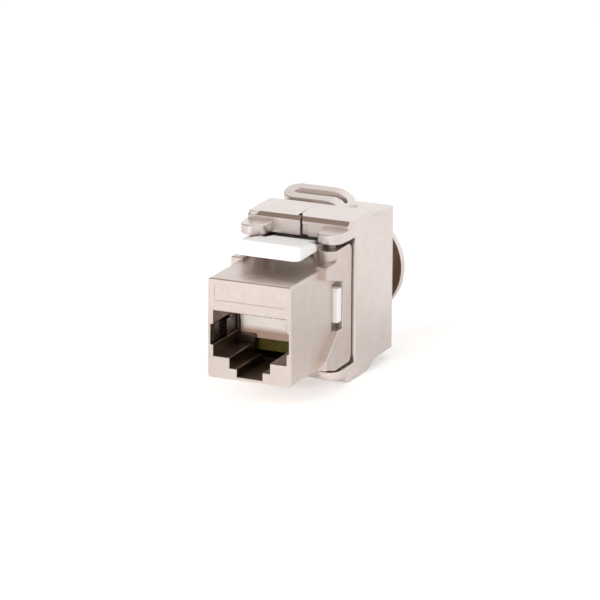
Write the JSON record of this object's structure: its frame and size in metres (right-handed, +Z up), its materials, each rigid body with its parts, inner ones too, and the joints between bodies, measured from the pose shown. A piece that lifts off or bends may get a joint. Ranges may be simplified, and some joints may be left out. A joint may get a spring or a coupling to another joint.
{
  "type": "keystone jack",
  "caption": "Shielded tool-less keystone jack: a die-cast socket with a sprung white latch and two rear wings that swing open round the cable.",
  "frame": {"origin": "the middle of the lower front edge of the nose, where the jack seats in its faceplate opening", "axes": "+X to the right seen from the front, +Y from the front face to the cable, +Z up towards the latch"},
  "size_m": [0.0178, 0.0418, 0.0281],
  "materials": {
    "zinc_casting": "satin nickel plating on a zinc die casting",
    "white_plastic": "moulded",
    "ivory_plastic": "moulded",
    "gold_contact": "gold plating",
    "spring_steel": "rolled",
    "pin_steel": "turned",
    "board_laminate": "solder mask",
    "tinned_bronze": "tin plating"
  },
  "bodies": {
    "housing": {"front_housing": "zinc_casting", "termination_block": "white_plastic", "wire_cap": "white_plastic", "contact_carrier": "ivory_plastic", "contact_wire_1": "gold_contact", "contact_wire_2": "gold_contact", "contact_wire_3": "gold_contact", "contact_wire_4": "gold_contact", "contact_wire_5": "gold_contact", "contact_wire_6": "gold_contact", "contact_wire_7": "gold_contact", "contact_wire_8": "gold_contact", "shield_spring_left": "spring_steel", "shield_spring_right": "spring_steel", "upper_hinge_pin_left": "pin_steel", "upper_hinge_pin_right": "pin_steel", "lower_hinge_pin_left": "pin_steel", "lower_hinge_pin_right": "pin_steel", "circuit_board": "board_laminate", "lower_blade_1": "tinned_bronze", "lower_blade_2": "tinned_bronze", "lower_blade_3": "tinned_bronze", "lower_blade_4": "tinned_bronze", "upper_blade_1": "tinned_bronze", "upper_blade_2": "tinned_bronze", "upper_blade_3": "tinned_bronze", "upper_blade_4": "tinned_bronze"},
    "right_wing": {"right_wing_shell": "zinc_casting"},
    "left_wing": {"left_wing_shell": "zinc_casting"},
    "latch_lever": {"latch": "white_plastic"}
  },
  "joints": [
    {"name": "right_wing_hinge", "type": "hinge", "parent": "housing", "child": "right_wing", "pos_m": [0.00675, 0.0165, 0.0091], "axis": [0, 0, -1], "range_deg": [0, 100]},
    {"name": "left_wing_hinge", "type": "hinge", "parent": "housing", "child": "left_wing", "pos_m": [-0.00675, 0.0165, 0.0091], "axis": [0, 0, 1], "range_deg": [0, 100]},
    {"name": "latch_flex", "type": "hinge", "parent": "housing", "child": "latch_lever", "pos_m": [0, 0.0188, 0.0176], "axis": [1, 0, 0], "range_deg": [0, 9], "stiffness_Nm_per_rad": 0.02}
  ]
}
